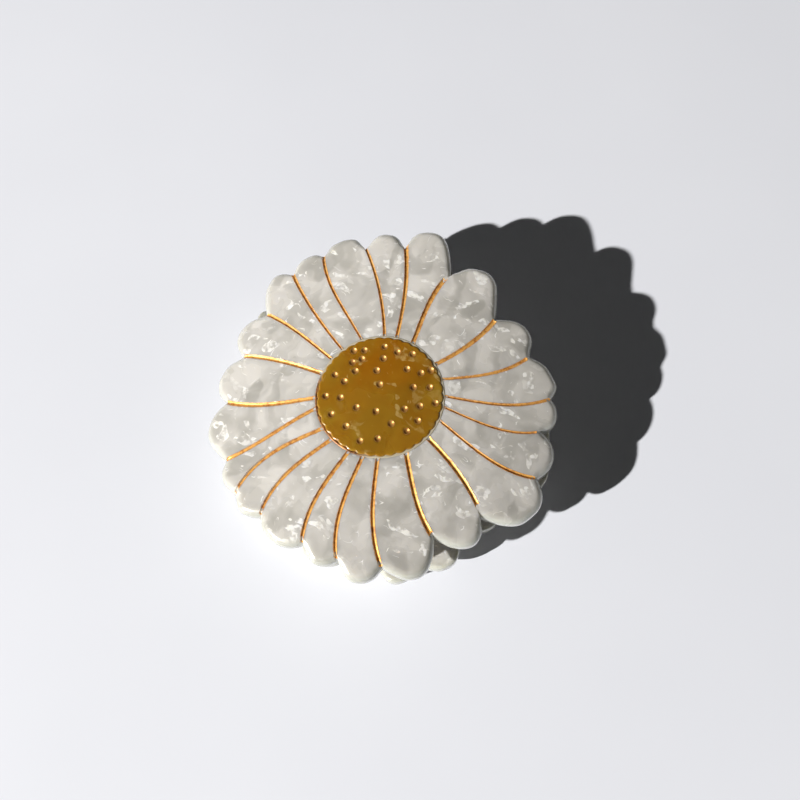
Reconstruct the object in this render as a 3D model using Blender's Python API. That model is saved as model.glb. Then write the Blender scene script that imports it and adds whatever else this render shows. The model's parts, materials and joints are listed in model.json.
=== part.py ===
"""Flower hair clip: a claw clip whose two jaws are daisies cut from thick pearl acetate.

The clip lies on the disc of its back flower. The origin is the centre of that disc's flat face,
+Z points up through the front flower, +X lies along the hinge and +Y towards the finger end.
Each jaw is first laid out in its own frame, in millimetres: x along the hinge, y towards the finger
end, z outwards, with z = 0 on the disc's flat crown. The two jaws mirror each other, except that the
back flower is cut a little smaller and stands turned, and that teeth and lugs stand side by side.
"""

import math

import bmesh
import bpy
from mathutils import Matrix, Vector

MM = 0.001
GAP = 0.3                       # space left between neighbouring pieces
RUNNING_GAP = 0.05              # radial play of the pin in its lugs

# Where the two jaws stand.
FACE_SPACING = 23.1             # between the crowns of the two discs
JAW_ANGLE = math.radians(5.0)   # angle between the jaws, widest at the finger end
HINGE_OFFSET = 12.5             # hinge to the line through both centres, along the middle plane

# Flower plate.
PLATE_THICK = 3.6
PLATE_BOW_ACROSS = 0.0095       # curvature across the jaw, 1/mm
PLATE_BOW_ALONG = 0.002         # curvature from finger end to teeth, 1/mm
GROOVE_HALF_WIDTH = 0.3
GROOVE_DEPTH = 0.25
EDGE_ROUNDING = 1.2
BACK_SIZE = 0.96                # the back flower is cut a little smaller than the front one
BACK_TURN = 11.0                # and stands turned by this many degrees
BACK_SHIFT = (0.4, 0.2)         # how far each ring of petals is cut off the disc's centre
FRONT_SHIFT = (0.35, -0.7)

# Disc, inlaid in the plate and bent with it. Its crown is buffed flat.
DISC_RADIUS = 13.0
CROWN_BUFFED = 0.1              # height lost on the crown, and the disc's height over the plate
DISC_SUNK = 1.6                 # depth of the disc below the plate's crown
DISC_EDGE = 0.35                # rounding of its edge
SCALLOPS = 38
SCALLOP_DEPTH = 0.3
DIMPLE_RADIUS = 0.55
DIMPLE_DEPTH = 0.3
DIMPLE_TAPER = 0.7              # floor radius over mouth radius
DIMPLE_SIDES = 8

# Tooth combs.
COMB_RADIUS = 27.0
COMB_HALF_WIDTH = 1.2
COMB_HEIGHT = 2.0
COMB_ARC = (-148.0, -32.0)
TOOTH_CLEARANCE = 1.0           # left between a tooth's tip and the other jaw's comb
TOOTH_HALF_ANGLE = 3.2
TOOTH_PLACES = 11               # the jaws' teeth take these places in turn
TOOTH_LEVELS = ((0.5, 0.86, 0.15), (0.85, 0.66, 0.45), (1.0, 0.36, 0.6))  # height, width, lean inwards

# Hinge.
PIN_RADIUS = 1.0
LUG_RADIUS = 3.2
LUG_HALF_FOOT = 4.5
LUG_THICK = 2.2
LUG_ARC_STEPS = 10
BACK_LUG_X = 4.2                # inner face of each lug, from the middle
FRONT_LUG_X = 6.8
HEAD_RADIUS = 2.1
HEAD_THICK = 0.8
CAP_THICK = 1.3
DOME = 0.75                     # end radius of the head and the cap, over their full radius
PIN_SIDES = 24

# Torsion spring.
WIRE_RADIUS = 0.5
COIL_RADIUS = 2.4
COIL_PITCH = 1.25
COIL_FULL_TURNS = 4
STEPS_PER_TURN = 18
WIRE_SIDES = 8
LEG_ANGLE = math.radians(15.0)  # between each leg and the middle plane
LEG_LENGTH = 13.5
SEAT_SIZE = (4.5, 4.0, 1.3)
SEAT_CHAMFER = 0.4
SEAT_Y = 23.5

# Each groove between two petals: its bearing in degrees at the disc, halfway out and at the notch,
# then the notch's distance from the centre. The petals are cut by eye, so no two are alike.
GROOVES = [
    (134, 139, 137, 38.5),
    (113, 118, 123, 37.0),
    (102, 105, 109, 36.5),
    (86, 91, 89, 32.5),
    (57, 59, 64, 30.5),
    (42, 40, 45, 33.0),
    (26, 24, 29, 35.5),
    (16, 12, 17, 33.5),
    (3, -3, 1, 35.5),
    (-16, -18, -23, 31.0),
    (-39, -44, -42, 30.0),
    (-64, -66, -62, 34.0),
    (-77, -81, -77, 33.5),
    (-90, -94, -90, 33.0),
    (-109, -113, -108, 33.5),
    (-122, -126, -120, 35.0),
    (-143, -135, -133, 34.0),
    (-153, -152, -156, 33.0),
    (-177, -177, -175, 32.5),
    (-193, -195, -194, 34.0),
    (-206, -208, -211, 38.0),
]

# The outer edge of the petal that follows each groove, as bearings and distances between its notches.
PETAL_EDGES = [
    [(134, 40.5), (131, 41.0), (128, 41.0), (125, 40.0)],
    [(119, 40.0), (116, 40.5), (112, 39.5)],
    [(107, 40.0), (103, 41.5), (99, 41.5), (96, 40.0), (93, 37.0)],
    [(86, 35.5), (82, 37.0), (78, 37.5), (74, 36.5), (70, 34.0)],
    [(60, 33.5), (56, 35.0), (51, 35.0), (47, 33.5)],
    [(41, 35.5), (37, 36.5), (33, 37.0)],
    [(26, 36.5), (22, 36.5), (19, 35.5)],
    [(15, 35.5), (11, 37.0), (6, 37.0)],
    [(-2, 37.5), (-6, 38.5), (-11, 38.0), (-15, 37.0), (-19, 34.5)],
    [(-26, 33.5), (-30, 34.5), (-34, 34.0), (-38, 32.5)],
    [(-45, 33.5), (-49, 36.0), (-54, 36.5), (-58, 35.5)],
    [(-65, 36.0), (-69, 37.0), (-73, 36.5)],
    [(-80, 35.0), (-84, 35.5), (-87, 34.5)],
    [(-93, 34.5), (-97, 35.5), (-101, 35.5), (-105, 35.0)],
    [(-111, 35.0), (-115, 36.0)],
    [(-123, 35.5), (-126, 36.0), (-130, 35.5)],
    [(-136, 35.0), (-139, 36.0), (-144, 37.0), (-149, 36.5), (-153, 35.0)],
    [(-159, 35.0), (-163, 36.0), (-166, 36.0), (-171, 35.0)],
    [(-178, 35.0), (-181, 36.5), (-185, 37.0), (-190, 36.0)],
    [(-198, 37.5), (-202, 40.0), (-206, 41.0), (-209, 40.0)],
    [(-213, 39.5), (-216, 40.5), (-219, 40.5), (-221, 40.0)],
]

# Centres of the dimples drilled in a disc, scattered by eye.
DIMPLES = [
    (-9.5, 6.5), (-7.5, 7.5), (-7.0, 5.5), (-8.5, 4.0), (-7.0, 2.5), (-10.5, 0.0), (-8.0, -0.5),
    (-4.0, 10.0), (-3.0, 7.5), (-1.0, 10.0), (2.0, 11.0), (-3.0, 4.5), (2.5, 7.5), (5.5, 8.0),
    (7.0, 9.5), (-1.0, 2.0), (5.5, 4.5), (8.5, 6.0), (-10.0, -5.0), (-7.0, -4.0), (-3.0, -4.5),
    (-7.0, -8.0), (1.0, -3.5), (6.0, -0.5), (8.5, 1.5), (11.0, 3.5), (-3.0, -9.0), (5.0, -4.5),
    (9.5, -1.5), (8.5, -4.5), (1.0, -10.5), (4.0, -8.5),
]

PETAL_STEPS = (0.1, 0.22, 0.36, 0.5, 0.64, 0.78, 0.9)   # where a petal has columns
LIP_RISE = 0.3                  # share of the first rise out of a notch reached at the groove's lip
TOP_ROWS = (0.35, 0.7, 1.0)     # where the plate's outer face has rows, from the disc to the edge
TOP_CHAMFER = 0.3               # middle of the top edge's rounding, as a share of it
UNDER_CHAMFER = 0.7             # size of the under edge's chamfer, as a share of the top's rounding


# ---------------------------------------------------------------- frames

HALF_ANGLE = JAW_ANGLE / 2
MID_DIRECTION = Vector((0.0, math.cos(HALF_ANGLE), math.sin(HALF_ANGLE)))
MID_NORMAL = Vector((0.0, -math.sin(HALF_ANGLE), math.cos(HALF_ANGLE)))
HINGE = MID_NORMAL * (FACE_SPACING / 2) + MID_DIRECTION * HINGE_OFFSET


def back_place(point):
    """A point of the jaw frame, as it lies in the back jaw."""
    x, y, z = point
    return Vector((x, y, -z))


def front_place(point):
    """The same point in the front jaw, which mirrors the back one in the middle plane."""
    back = back_place(point)
    distance = back.dot(MID_NORMAL) - FACE_SPACING / 2
    return back - MID_NORMAL * (2 * distance)


JAWS = {"back": back_place, "front": front_place}
FLOWER_CUTS = {"back": (BACK_SIZE, BACK_TURN, BACK_SHIFT), "front": (1.0, 0.0, FRONT_SHIFT)}


# ---------------------------------------------------------------- building blocks

def plastic(name, colour, roughness):
    """A glossy acetate finish."""
    material = bpy.data.materials.new(name)
    material.use_nodes = True
    shader = material.node_tree.nodes["Principled BSDF"]
    shader.inputs["Base Color"].default_value = (*colour, 1.0)
    shader.inputs["Roughness"].default_value = roughness
    return material


def steel(name):
    """A bright spring-steel finish."""
    material = plastic(name, (0.62, 0.61, 0.59), 0.3)
    material.node_tree.nodes["Principled BSDF"].inputs["Metallic"].default_value = 1.0
    return material


def add_object(name, bm, material, origin, smooth_angle=35.0):
    """Turns a mesh in millimetres into one named object, with its origin at the given point."""
    bmesh.ops.recalc_face_normals(bm, faces=bm.faces)
    bmesh.ops.triangulate(bm, faces=bm.faces)
    bmesh.ops.translate(bm, verts=bm.verts, vec=-origin)
    bmesh.ops.scale(bm, verts=bm.verts, vec=(MM, MM, MM))
    mesh = bpy.data.meshes.new(name)
    bm.to_mesh(mesh)
    bm.free()
    mesh.shade_smooth()
    mesh.set_sharp_from_angle(angle=math.radians(smooth_angle))
    mesh.materials.append(material)
    part = bpy.data.objects.new(name, mesh)
    part.location = origin * MM
    bpy.context.scene.collection.objects.link(part)
    return part


def add_ring(bm, points):
    """One row of vertices."""
    return [bm.verts.new(point) for point in points]


def join_rings(bm, first, second):
    """A band of faces between two rows with equally many vertices."""
    count = len(first)
    for i in range(count):
        j = (i + 1) % count
        bm.faces.new((first[i], first[j], second[j], second[i]))


def close_ring(bm, ring, centre):
    """A fan of triangles that closes a row at its centre."""
    hub = bm.verts.new(centre)
    for i in range(len(ring)):
        bm.faces.new((ring[i], ring[(i + 1) % len(ring)], hub))


def fill_between(bm, outer, holes):
    """Faces inside one row and outside the others."""
    edges = []
    for ring in [outer, *holes]:
        for i in range(len(ring)):
            ends = (ring[i], ring[(i + 1) % len(ring)])
            edges.append(bm.edges.get(ends) or bm.edges.new(ends))
    bmesh.ops.triangle_fill(bm, use_beauty=True, edges=edges)


def circle(radius, sides, turn=0.0):
    """Corners of a regular polygon, as (first, second) pairs."""
    points = []
    for i in range(sides):
        angle = turn + 2 * math.pi * i / sides
        points.append((radius * math.cos(angle), radius * math.sin(angle)))
    return points


# ---------------------------------------------------------------- flower plate

def crown_drop(x, y):
    """How far the bowed plate falls below its crown."""
    return (PLATE_BOW_ACROSS * x * x + PLATE_BOW_ALONG * y * y) / 2


def outer_z(x, y):
    return -CROWN_BUFFED - crown_drop(x, y)


def inner_z(x, y):
    return outer_z(x, y) - PLATE_THICK


def disc_z(x, y):
    """The disc's face: flat on the crown, then bent with the plate."""
    return min(0.0, CROWN_BUFFED - crown_drop(x, y))


def groove_bearing(groove, share):
    """Bearing of a groove, share 0 at the disc and 1 at the notch, on a smooth curve."""
    start, middle, end, _ = groove
    bend = middle - (start + end) / 2
    return start + (end - start) * share + 4 * bend * share * (1 - share)


def groove_after(i):
    """The groove that ends petal i, its bearings counted on past a full turn."""
    if i + 1 < len(GROOVES):
        return GROOVES[i + 1]
    start, middle, end, rim = GROOVES[0]
    return start - 360, middle - 360, end - 360, rim


def petal_radius(i, position):
    """Outline distance of petal i, position 0 at one notch and 1 at the next, on a smooth curve."""
    before, after = GROOVES[i], groove_after(i)
    knots = [(before[2], before[3]), *PETAL_EDGES[i], (after[2], after[3])]
    bearing = before[2] + (after[2] - before[2]) * position
    k = 0
    while k < len(knots) - 2 and bearing < knots[k + 1][0]:
        k += 1
    (b0, r0), (b1, r1) = knots[k], knots[k + 1]
    slope = (r1 - r0) / (b1 - b0)
    slope_in = slope
    slope_out = slope
    if k > 0:
        slope_in = (r1 - knots[k - 1][1]) / (b1 - knots[k - 1][0])
    if k < len(knots) - 2:
        slope_out = (knots[k + 2][1] - r0) / (knots[k + 2][0] - b0)
    t = (bearing - b0) / (b1 - b0)
    step = b1 - b0
    return (
        r0 * (1 + 2 * t) * (1 - t) ** 2
        + slope_in * step * t * (1 - t) ** 2
        + r1 * t * t * (3 - 2 * t)
        - slope_out * step * t * t * (1 - t)
    )


def petal_columns(i):
    """Columns of one petal from its groove to the next: (position 0 to 1, radius, in a groove)."""
    before, after = GROOVES[i], groove_after(i)
    lip = GROOVE_HALF_WIDTH / (math.radians(before[2] - after[2]) * before[3])
    first_rise = petal_radius(i, PETAL_STEPS[0]) - before[3]
    last_rise = petal_radius(i, PETAL_STEPS[-1]) - after[3]
    columns = [(0.0, before[3], True), (lip, before[3] + first_rise * LIP_RISE, False)]
    for position in PETAL_STEPS:
        columns.append((position, petal_radius(i, position), False))
    columns.append((1 - lip, after[3] + last_rise * LIP_RISE, False))
    return columns


def turned_groove(groove, turn):
    """A groove with its bearings moved on by some degrees."""
    start, middle, end, rim = groove
    return start + turn, middle + turn, end + turn, rim


def plate_columns(size, turn):
    """Every column of the plate: (groove before, groove after, position, radius, in a groove)."""
    columns = []
    for i, groove in enumerate(GROOVES):
        before = turned_groove(groove, turn)
        after = turned_groove(groove_after(i), turn)
        for position, radius, grooved in petal_columns(i):
            columns.append((before, after, position, radius * size, grooved))
    return columns


def column_point(column, radius, shift):
    """Where a column of the plate crosses a given radius, moved more and more towards the rim."""
    before, after, position, rim, _ = column
    share = (radius - DISC_RADIUS) / (rim - DISC_RADIUS)
    share = min(max(share, 0.0), 1.0)
    near = groove_bearing(before, share)
    far = groove_bearing(after, share)
    bearing = math.radians(near + (far - near) * position)
    return radius * math.cos(bearing) + shift[0] * share, radius * math.sin(bearing) + shift[1] * share


def plate_ring(bm, place, columns, shift, radius_of, height_of):
    """One closed row round the plate. The row's radius and height follow from each column."""
    points = []
    for column in columns:
        x, y = column_point(column, radius_of(column[3]), shift)
        points.append(place((x, y, height_of(x, y, column[4]))))
    return add_ring(bm, points)


def flower_plate(name, place, cut, material, origin):
    """The petals, with a flat-bottomed seat for the disc and engraved lines between them."""
    size, turn, shift = cut
    seat_radius = DISC_RADIUS + GAP
    seat_floor = -CROWN_BUFFED - DISC_SUNK - GAP
    top_chamfer = EDGE_ROUNDING * TOP_CHAMFER
    under_chamfer = EDGE_ROUNDING * UNDER_CHAMFER
    columns = plate_columns(size, turn)

    def on_top(x, y, grooved):
        return outer_z(x, y) - (GROOVE_DEPTH if grooved else 0.0)

    def underneath(x, y, grooved):
        return inner_z(x, y)

    def at_share(share):
        return lambda rim: seat_radius + (rim - EDGE_ROUNDING - seat_radius) * share

    def inset(distance):
        return lambda rim: rim - distance

    def below_top(depth):
        return lambda x, y, grooved: outer_z(x, y) - depth

    rows = [
        (at_share(0.0), lambda x, y, grooved: seat_floor),
        (at_share(0.0), on_top),
        *[(at_share(share), on_top) for share in TOP_ROWS],
        (inset(top_chamfer), below_top(top_chamfer)),
        (inset(0.0), below_top(EDGE_ROUNDING)),
        (inset(0.0), below_top(PLATE_THICK - under_chamfer)),
        (inset(under_chamfer), underneath),
        (at_share(0.5), underneath),
        (at_share(0.0), underneath),
    ]
    bm = bmesh.new()
    rings = []
    for radius_of, height_of in rows:
        rings.append(plate_ring(bm, place, columns, shift, radius_of, height_of))
    for first, second in zip(rings, rings[1:]):
        join_rings(bm, first, second)
    close_ring(bm, rings[0], place((0.0, 0.0, seat_floor)))
    close_ring(bm, rings[-1], place((0.0, 0.0, inner_z(0.0, 0.0))))
    return add_object(name, bm, material, origin)


# ---------------------------------------------------------------- disc

def scalloped(radius, depth):
    """Corners of a circle whose edge is cut in small round scallops."""
    points = []
    steps = SCALLOPS * 4
    for i in range(steps):
        angle = 2 * math.pi * i / steps
        cut = depth * (1 - abs(math.sin(angle * SCALLOPS / 2)))
        points.append(((radius - cut) * math.cos(angle), (radius - cut) * math.sin(angle)))
    return points


def centre_disc(name, place, material, origin):
    """The disc, scalloped round its edge and drilled with dimples."""
    bottom_z = -CROWN_BUFFED - DISC_SUNK
    bm = bmesh.new()

    def row(points, height_of):
        return add_ring(bm, [place((x, y, height_of(x, y))) for x, y in points])

    def below_face(depth):
        return lambda x, y: disc_z(x, y) - depth

    bottom = row(scalloped(DISC_RADIUS, 0.0), lambda x, y: bottom_z)
    side = row(scalloped(DISC_RADIUS, SCALLOP_DEPTH), below_face(DISC_EDGE))
    top = row(scalloped(DISC_RADIUS - DISC_EDGE, SCALLOP_DEPTH), disc_z)
    join_rings(bm, bottom, side)
    join_rings(bm, side, top)
    close_ring(bm, bottom, place((0.0, 0.0, bottom_z)))
    mouths = []
    for cx, cy in DIMPLES:
        mouth = row([(cx + x, cy + y) for x, y in circle(DIMPLE_RADIUS, DIMPLE_SIDES)], disc_z)
        floor_corners = circle(DIMPLE_RADIUS * DIMPLE_TAPER, DIMPLE_SIDES)
        floor = row([(cx + x, cy + y) for x, y in floor_corners], below_face(DIMPLE_DEPTH))
        join_rings(bm, mouth, floor)
        close_ring(bm, floor, place((cx, cy, disc_z(cx, cy) - DIMPLE_DEPTH)))
        mouths.append(mouth)
    fill_between(bm, top, mouths)
    return add_object(name, bm, material, origin)


# ---------------------------------------------------------------- tooth comb

def tooth_bearings(first_place):
    """Bearings of one jaw's teeth. The other jaw's teeth stand in the places between."""
    start, end = COMB_ARC
    pitch = (end - start) / TOOTH_PLACES
    return [start + pitch * (i + 0.5) for i in range(first_place, TOOTH_PLACES, 2)]


def comb_corner(place, radius, bearing, height):
    """A point over the plate's inner face, at a given height above it."""
    angle = math.radians(bearing)
    x = radius * math.cos(angle)
    y = radius * math.sin(angle)
    return place((x, y, inner_z(x, y) - GAP - height))


def tooth_comb(name, place, first_place, material, origin):
    """A curved strip under the plate's rim, with teeth pointing at the other jaw."""
    bm = bmesh.new()
    inner = COMB_RADIUS - COMB_HALF_WIDTH
    outer = COMB_RADIUS + COMB_HALF_WIDTH
    teeth = tooth_bearings(first_place)
    stations = [COMB_ARC[0]]
    for bearing in teeth:
        stations += [(stations[-1] + bearing - TOOTH_HALF_ANGLE) / 2]
        stations += [bearing - TOOTH_HALF_ANGLE, bearing + TOOTH_HALF_ANGLE]
    stations += [(stations[-1] + COMB_ARC[1]) / 2, COMB_ARC[1]]
    rows = []
    for bearing in stations:
        rows.append([
            bm.verts.new(comb_corner(place, inner, bearing, 0.0)),
            bm.verts.new(comb_corner(place, outer, bearing, 0.0)),
            bm.verts.new(comb_corner(place, outer, bearing, COMB_HEIGHT)),
            bm.verts.new(comb_corner(place, inner, bearing, COMB_HEIGHT)),
        ])
    tooth_starts = {bearing - TOOTH_HALF_ANGLE for bearing in teeth}
    for i in range(len(rows) - 1):
        first, second = rows[i], rows[i + 1]
        for side in (0, 1, 3):
            j = (side + 1) % 4
            bm.faces.new((first[side], first[j], second[j], second[side]))
        root = [first[2], first[3], second[3], second[2]]
        if stations[i] in tooth_starts:
            add_tooth(bm, place, root, stations[i] + TOOTH_HALF_ANGLE)
        else:
            bm.faces.new(root)
    bm.faces.new(rows[0])
    bm.faces.new(rows[-1])
    return add_object(name, bm, material, origin)


def jaw_gap(x, y):
    """Space between the two plates' inner faces."""
    middle_z = (FACE_SPACING / 2 + y * math.sin(HALF_ANGLE)) / math.cos(HALF_ANGLE)
    return 2 * (middle_z + inner_z(x, y))


def add_tooth(bm, place, root, bearing):
    """One tapered tooth that leans a little towards the hinge, grown from four corners."""
    angle = math.radians(bearing)
    gap = jaw_gap(COMB_RADIUS * math.cos(angle), COMB_RADIUS * math.sin(angle))
    length = gap - 2 * (COMB_HEIGHT + GAP) - TOOTH_CLEARANCE
    lower = root
    for share, width, lean in TOOTH_LEVELS:
        height = COMB_HEIGHT + length * share
        half_angle = TOOTH_HALF_ANGLE * width
        near = COMB_RADIUS - lean - COMB_HALF_WIDTH * width
        far = COMB_RADIUS - lean + COMB_HALF_WIDTH * width
        corners = ((far, -half_angle), (near, -half_angle), (near, half_angle), (far, half_angle))
        upper = add_ring(bm, [comb_corner(place, r, bearing + a, height) for r, a in corners])
        join_rings(bm, lower, upper)
        lower = upper
    bm.faces.new(lower)


# ---------------------------------------------------------------- hinge

def hinge_in_jaw():
    """The hinge axis in the jaw frame, as (y, z)."""
    return HINGE.y, -HINGE.z


def lug(name, place, inner_x, side, material, origin):
    """A drilled ear standing on the plate's inner face."""
    axis_y, axis_z = hinge_in_jaw()
    outer_x = inner_x + LUG_THICK
    foot_z = inner_z(outer_x, axis_y + LUG_HALF_FOOT) - GAP
    rise = foot_z - axis_z
    foot_angle = math.atan2(rise, LUG_HALF_FOOT)
    tangent = foot_angle - math.acos(LUG_RADIUS / math.hypot(LUG_HALF_FOOT, rise))
    outline = [(axis_y + LUG_HALF_FOOT, foot_z)]
    for i in range(LUG_ARC_STEPS + 1):
        angle = tangent - (math.pi + 2 * tangent) * i / LUG_ARC_STEPS
        outline.append((axis_y + LUG_RADIUS * math.cos(angle), axis_z + LUG_RADIUS * math.sin(angle)))
    outline.append((axis_y - LUG_HALF_FOOT, foot_z))
    bore = [(axis_y + y, axis_z + z) for y, z in circle(PIN_RADIUS + RUNNING_GAP, PIN_SIDES)]
    bm = bmesh.new()
    rings = {}
    for x in (inner_x, outer_x):
        rings[x, "rim"] = add_ring(bm, [place((side * x, y, z)) for y, z in outline])
        rings[x, "bore"] = add_ring(bm, [place((side * x, y, z)) for y, z in bore])
        fill_between(bm, rings[x, "rim"], [rings[x, "bore"]])
    for edge in ("rim", "bore"):
        join_rings(bm, rings[inner_x, edge], rings[outer_x, edge])
    return add_object(name, bm, material, origin)


def turned(name, profile, material, origin):
    """A solid of revolution round the hinge axis. The profile gives (x, radius) pairs."""
    bm = bmesh.new()
    rings = []
    for x, radius in profile:
        points = [HINGE + Vector((x, y, z)) for y, z in circle(radius, PIN_SIDES)]
        rings.append(add_ring(bm, points))
    for first, second in zip(rings, rings[1:]):
        join_rings(bm, first, second)
    close_ring(bm, rings[0], HINGE + Vector((profile[0][0], 0.0, 0.0)))
    close_ring(bm, rings[-1], HINGE + Vector((profile[-1][0], 0.0, 0.0)))
    return add_object(name, bm, material, origin)


def hinge_pin(material):
    """A plain pin with one formed head."""
    head_x = -(FRONT_LUG_X + LUG_THICK + GAP)
    end_x = FRONT_LUG_X + LUG_THICK + GAP + CAP_THICK - HEAD_THICK
    profile = [
        (head_x - HEAD_THICK, HEAD_RADIUS * DOME),
        (head_x - HEAD_THICK / 2, HEAD_RADIUS),
        (head_x, HEAD_RADIUS),
        (head_x, PIN_RADIUS),
        (end_x, PIN_RADIUS),
    ]
    return turned("hinge_pin", profile, material, HINGE)


def pin_cap(material):
    """The push-on cap that closes the pin's plain end."""
    mouth_x = FRONT_LUG_X + LUG_THICK + GAP
    bore_radius = PIN_RADIUS + GAP
    profile = [
        (mouth_x + CAP_THICK - HEAD_THICK + GAP, bore_radius),
        (mouth_x, bore_radius),
        (mouth_x, HEAD_RADIUS),
        (mouth_x + CAP_THICK - HEAD_THICK / 2, HEAD_RADIUS),
        (mouth_x + CAP_THICK, HEAD_RADIUS * DOME),
    ]
    return turned("pin_cap", profile, material, HINGE)


# ---------------------------------------------------------------- spring

def spring_path():
    """Centre line of the wire: one straight leg, the coil, then the other leg."""
    start = math.pi / 2 + LEG_ANGLE
    sweep = math.pi - 2 * LEG_ANGLE + 2 * math.pi * COIL_FULL_TURNS
    steps = STEPS_PER_TURN * COIL_FULL_TURNS
    half_width = COIL_PITCH * sweep / (2 * math.pi) / 2
    path = []
    for i in range(steps + 1):
        share = i / steps
        angle = start + sweep * share
        radial = MID_DIRECTION * math.cos(angle) + MID_NORMAL * math.sin(angle)
        path.append(HINGE + radial * COIL_RADIUS + Vector((half_width - 2 * half_width * share, 0, 0)))
    upper_leg = MID_DIRECTION * math.cos(LEG_ANGLE) + MID_NORMAL * math.sin(LEG_ANGLE)
    lower_leg = MID_DIRECTION * math.cos(LEG_ANGLE) - MID_NORMAL * math.sin(LEG_ANGLE)
    path.insert(0, path[0] + upper_leg * LEG_LENGTH)
    path.append(path[-1] + lower_leg * LEG_LENGTH)
    return path


def torsion_spring(material):
    """Round wire swept along the spring's path."""
    path = spring_path()
    bm = bmesh.new()
    rings = []
    across = Vector((1.0, 0.0, 0.0))
    for i, point in enumerate(path):
        before = path[max(i - 1, 0)]
        after = path[min(i + 1, len(path) - 1)]
        along = (after - before).normalized()
        side = (across - along * across.dot(along)).normalized()
        normal = along.cross(side)
        section = [point + side * a + normal * b for a, b in circle(WIRE_RADIUS, WIRE_SIDES)]
        rings.append(add_ring(bm, section))
    for first, second in zip(rings, rings[1:]):
        join_rings(bm, first, second)
    close_ring(bm, rings[0], path[0])
    close_ring(bm, rings[-1], path[-1])
    return add_object("hinge_spring", bm, material, HINGE)


def spring_seat(name, place, side, material, origin):
    """A small block on the plate that one spring leg presses on."""
    width, length, height = SEAT_SIZE
    middle_x = side * COIL_PITCH * COIL_FULL_TURNS / 2
    bm = bmesh.new()
    far_x = abs(middle_x) + width / 2
    foot_z = inner_z(far_x, SEAT_Y + length / 2) - GAP
    rings = []
    levels = ((foot_z, 0.0), (foot_z - height + SEAT_CHAMFER, 0.0), (foot_z - height, SEAT_CHAMFER))
    for z, inset in levels:
        half_x = width / 2 - inset
        half_y = length / 2 - inset
        corners = ((-half_x, -half_y), (half_x, -half_y), (half_x, half_y), (-half_x, half_y))
        rings.append(add_ring(bm, [place((middle_x + x, SEAT_Y + y, z)) for x, y in corners]))
    for first, second in zip(rings, rings[1:]):
        join_rings(bm, first, second)
    bm.faces.new(rings[0])
    bm.faces.new(rings[-1])
    return add_object(name, bm, material, origin)


# ---------------------------------------------------------------- assembly

def clear_scene():
    for old in list(bpy.data.objects):
        bpy.data.objects.remove(old, do_unlink=True)


def build_jaw(jaw, origin, lug_x, first_tooth, seat_side):
    """One complete jaw."""
    place = JAWS[jaw]
    petal_white = plastic(f"{jaw}_pearl_white", (0.80, 0.79, 0.76), 0.22)
    comb_white = plastic(f"{jaw}_comb_white", (0.78, 0.77, 0.74), 0.25)
    amber = plastic(f"{jaw}_amber", (0.42, 0.20, 0.02), 0.25)
    flower_plate(f"{jaw}_flower", place, FLOWER_CUTS[jaw], petal_white, origin)
    centre_disc(f"{jaw}_disc", place, amber, origin)
    tooth_comb(f"{jaw}_comb", place, first_tooth, comb_white, origin)
    for side, word in ((-1, "left"), (1, "right")):
        finish = plastic(f"{jaw}_lug_{word}_white", (0.76, 0.75, 0.72), 0.3)
        lug(f"{jaw}_lug_{word}", place, lug_x, side, finish, origin)
    seat_finish = plastic(f"{jaw}_seat_white", (0.76, 0.75, 0.72), 0.3)
    spring_seat(f"{jaw}_spring_seat", place, seat_side, seat_finish, origin)


def main():
    clear_scene()
    build_jaw("back", Vector((0.0, 0.0, 0.0)), BACK_LUG_X, 0, -1)
    build_jaw("front", HINGE, FRONT_LUG_X, 1, 1)
    hinge_pin(steel("pin_steel"))
    pin_cap(steel("cap_steel"))
    torsion_spring(steel("spring_steel"))


main()
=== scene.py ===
"""Looks of the flower hair clip: pearl acetate petals, amber discs, gold lines and steel hardware.

Shapes are worked out in millimetres in each jaw's own frame, as in the CAD model: x along the hinge,
y towards the finger end, z outwards, with z = 0 on the disc's crown. add_piece() turns a finished mesh
into metres and lets it ride on its jaw.
"""
import itertools
import json
import math
import random

import bmesh
import bpy
from mathutils import Matrix, Vector


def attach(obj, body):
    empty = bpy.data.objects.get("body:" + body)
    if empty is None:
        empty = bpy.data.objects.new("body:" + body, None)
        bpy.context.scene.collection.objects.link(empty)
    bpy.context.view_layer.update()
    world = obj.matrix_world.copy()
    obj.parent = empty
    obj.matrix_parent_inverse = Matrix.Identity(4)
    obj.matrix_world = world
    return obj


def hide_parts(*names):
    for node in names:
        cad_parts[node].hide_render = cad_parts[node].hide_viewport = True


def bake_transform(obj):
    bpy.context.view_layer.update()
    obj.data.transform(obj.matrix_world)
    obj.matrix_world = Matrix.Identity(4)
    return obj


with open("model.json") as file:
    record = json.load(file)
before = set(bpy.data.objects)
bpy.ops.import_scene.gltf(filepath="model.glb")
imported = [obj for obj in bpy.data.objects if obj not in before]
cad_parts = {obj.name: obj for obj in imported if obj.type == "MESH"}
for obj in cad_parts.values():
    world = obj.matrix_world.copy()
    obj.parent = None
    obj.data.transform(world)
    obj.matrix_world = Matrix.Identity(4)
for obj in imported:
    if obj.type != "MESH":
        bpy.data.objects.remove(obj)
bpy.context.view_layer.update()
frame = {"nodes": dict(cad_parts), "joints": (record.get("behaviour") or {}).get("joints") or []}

MM = 0.001
HINGE = Vector(frame["joints"][0]["pos_m"]) / MM

# Where the two jaws stand, as in the CAD model.
FACE_SPACING = 23.1
HALF_ANGLE = math.radians(5.0) / 2

# Flower plate.
PLATE_THICK = 3.6
PLATE_BOW_ACROSS = 0.0095
PLATE_BOW_ALONG = 0.002
EDGE_ROUNDING = 1.5
UNDER_ROUNDING = 0.9
CHANNEL_DEPTH = 0.3
CHANNEL_RUN_OUT = 0.4       # length in which a channel comes up to the surface at its end
BACK_SIZE = 0.96
BACK_TURN = 11.0
BACK_SHIFT = Vector((0.4, 0.2))
FRONT_SHIFT = Vector((0.35, -0.7))

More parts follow.
